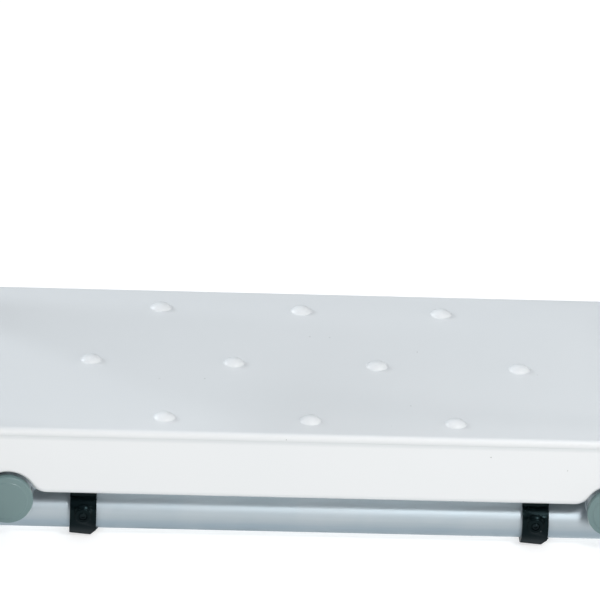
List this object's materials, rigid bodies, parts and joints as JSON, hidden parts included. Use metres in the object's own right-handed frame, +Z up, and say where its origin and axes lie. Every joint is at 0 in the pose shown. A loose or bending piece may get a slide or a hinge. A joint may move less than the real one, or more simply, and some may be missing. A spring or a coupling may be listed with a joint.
{
  "type": "adjustable bath seat",
  "caption": "Suspended bath seat: ribbed white seat shell clipped to an aluminium tube frame, with hangers that slide out to suit the bath and hook over its rims.",
  "frame": {"origin": "on the ground under the middle of the seat, at the underside of the clips", "axes": "+X to the right along the seat's width, +Y to the rear, +Z up"},
  "size_m": [0.7812, 0.2646, 0.2712],
  "materials": {
    "white_plastic": "satin moulded",
    "aluminium": "satin anodised",
    "grey_plastic": "satin moulded",
    "black_plastic": "fine grain",
    "steel": "zinc plated",
    "grey_rubber": "matt"
  },
  "bodies": {
    "frame": {"seat_shell": "white_plastic", "front_tube": "aluminium", "rear_tube": "aluminium", "left_cross_tube": "aluminium", "right_cross_tube": "aluminium", "left_front_cap": "grey_plastic", "left_front_clip": "black_plastic", "left_front_clip_screw": "black_plastic", "left_front_seat_screw": "steel", "left_front_collar": "black_plastic", "left_rear_cap": "grey_plastic", "left_rear_clip": "black_plastic", "left_rear_clip_screw": "black_plastic", "left_rear_seat_screw": "steel", "left_rear_collar": "black_plastic", "right_front_cap": "grey_plastic", "right_front_clip": "black_plastic", "right_front_clip_screw": "black_plastic", "right_front_seat_screw": "steel", "right_front_collar": "black_plastic", "right_rear_cap": "grey_plastic", "right_rear_clip": "black_plastic", "right_rear_clip_screw": "black_plastic", "right_rear_seat_screw": "steel", "right_rear_collar": "black_plastic"},
    "left_hanger": {"left_hanger": "aluminium", "left_front_rim_pad": "grey_rubber", "left_rear_rim_pad": "grey_rubber"},
    "right_hanger": {"right_hanger": "aluminium", "right_front_rim_pad": "grey_rubber", "right_rear_rim_pad": "grey_rubber"},
    "left_front_stud": {"left_front_stud": "steel"},
    "left_front_knob": {"left_front_knob": "black_plastic"},
    "left_rear_stud": {"left_rear_stud": "steel"},
    "left_rear_knob": {"left_rear_knob": "black_plastic"},
    "right_front_stud": {"right_front_stud": "steel"},
    "right_front_knob": {"right_front_knob": "black_plastic"},
    "right_rear_stud": {"right_rear_stud": "steel"},
    "right_rear_knob": {"right_rear_knob": "black_plastic"}
  },
  "joints": [
    {"name": "left_hanger_slide", "type": "slide", "parent": "frame", "child": "left_hanger", "axis": [-1, 0, 0], "range_m": [-0.018, 0.032]},
    {"name": "right_hanger_slide", "type": "slide", "parent": "frame", "child": "right_hanger", "axis": [1, 0, 0], "range_m": [-0.018, 0.032]},
    {"name": "left_front_stud_travel", "type": "slide", "parent": "frame", "child": "left_front_stud", "axis": [0, -1, 0], "range_m": [0, 0.0015]},
    {"name": "left_front_knob_turn", "type": "hinge", "parent": "left_front_stud", "child": "left_front_knob", "pos_m": [-0.232, -0.1173, 0.0163], "axis": [0, -1, 0], "range_deg": [0, 540]},
    {"name": "left_rear_stud_travel", "type": "slide", "parent": "frame", "child": "left_rear_stud", "axis": [0, 1, 0], "range_m": [0, 0.0015]},
    {"name": "left_rear_knob_turn", "type": "hinge", "parent": "left_rear_stud", "child": "left_rear_knob", "pos_m": [-0.232, 0.1173, 0.0163], "axis": [0, 1, 0], "range_deg": [0, 540]},
    {"name": "right_front_stud_travel", "type": "slide", "parent": "frame", "child": "right_front_stud", "axis": [0, -1, 0], "range_m": [0, 0.0015]},
    {"name": "right_front_knob_turn", "type": "hinge", "parent": "right_front_stud", "child": "right_front_knob", "pos_m": [0.232, -0.1173, 0.0163], "axis": [0, -1, 0], "range_deg": [0, 540]},
    {"name": "right_rear_stud_travel", "type": "slide", "parent": "frame", "child": "right_rear_stud", "axis": [0, 1, 0], "range_m": [0, 0.0015]},
    {"name": "right_rear_knob_turn", "type": "hinge", "parent": "right_rear_stud", "child": "right_rear_knob", "pos_m": [0.232, 0.1173, 0.0163], "axis": [0, 1, 0], "range_deg": [0, 540]}
  ],
  "couplings": [
    {"joint": "left_front_knob_turn", "follows": "left_front_stud_travel", "rad_per_m": 6283.2},
    {"joint": "left_rear_knob_turn", "follows": "left_rear_stud_travel", "rad_per_m": 6283.2},
    {"joint": "right_front_knob_turn", "follows": "right_front_stud_travel", "rad_per_m": 6283.2},
    {"joint": "right_rear_knob_turn", "follows": "right_rear_stud_travel", "rad_per_m": 6283.2}
  ]
}
